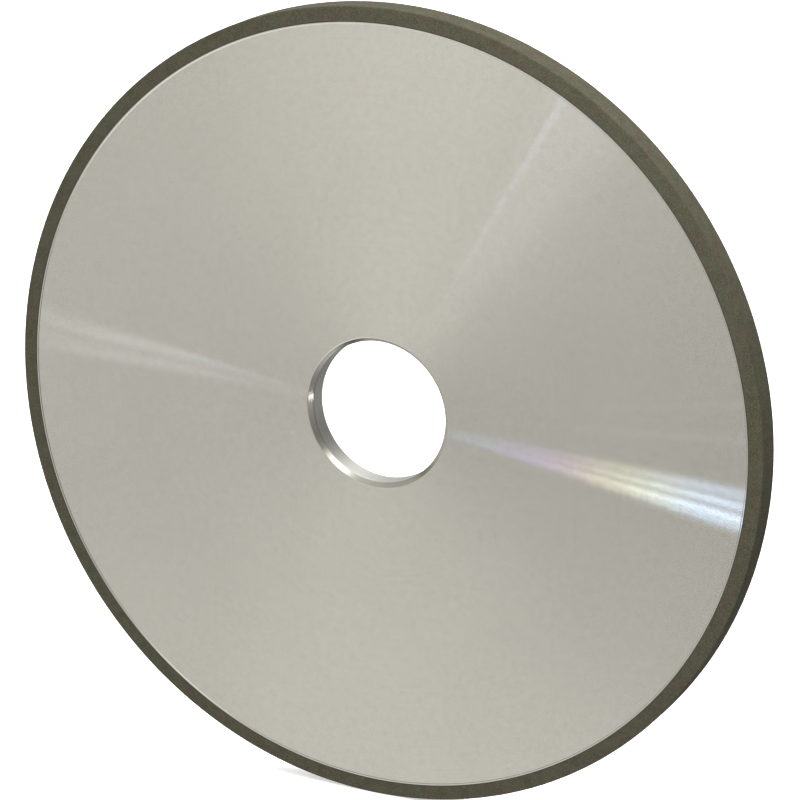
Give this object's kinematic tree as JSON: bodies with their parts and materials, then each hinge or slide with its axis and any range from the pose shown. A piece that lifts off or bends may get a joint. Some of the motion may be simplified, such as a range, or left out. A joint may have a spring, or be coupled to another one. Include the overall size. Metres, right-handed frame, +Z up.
{
  "type": "diamond grinding wheel",
  "caption": "Flat straight grinding wheel: a turned aluminium disc with a central arbor bore and a resin-bonded diamond rim around its edge.",
  "frame": {"origin": "centre of the wheel, on the axis of the arbor bore, half way between its two faces", "axes": "+Y along the wheel's axis, from the front face to the back face; +Z up; +X across the wheel"},
  "size_m": [0.1778, 0.0064, 0.1778],
  "materials": {
    "turned_aluminium": "fine turned, satin",
    "bond_resin": "cured resin, matte",
    "diamond_layer": "fine abrasive grain in resin, matte"
  },
  "bodies": {
    "root": {"core_disc": "turned_aluminium", "bond_line": "bond_resin", "diamond_rim": "diamond_layer"}
  },
  "joints": []
}
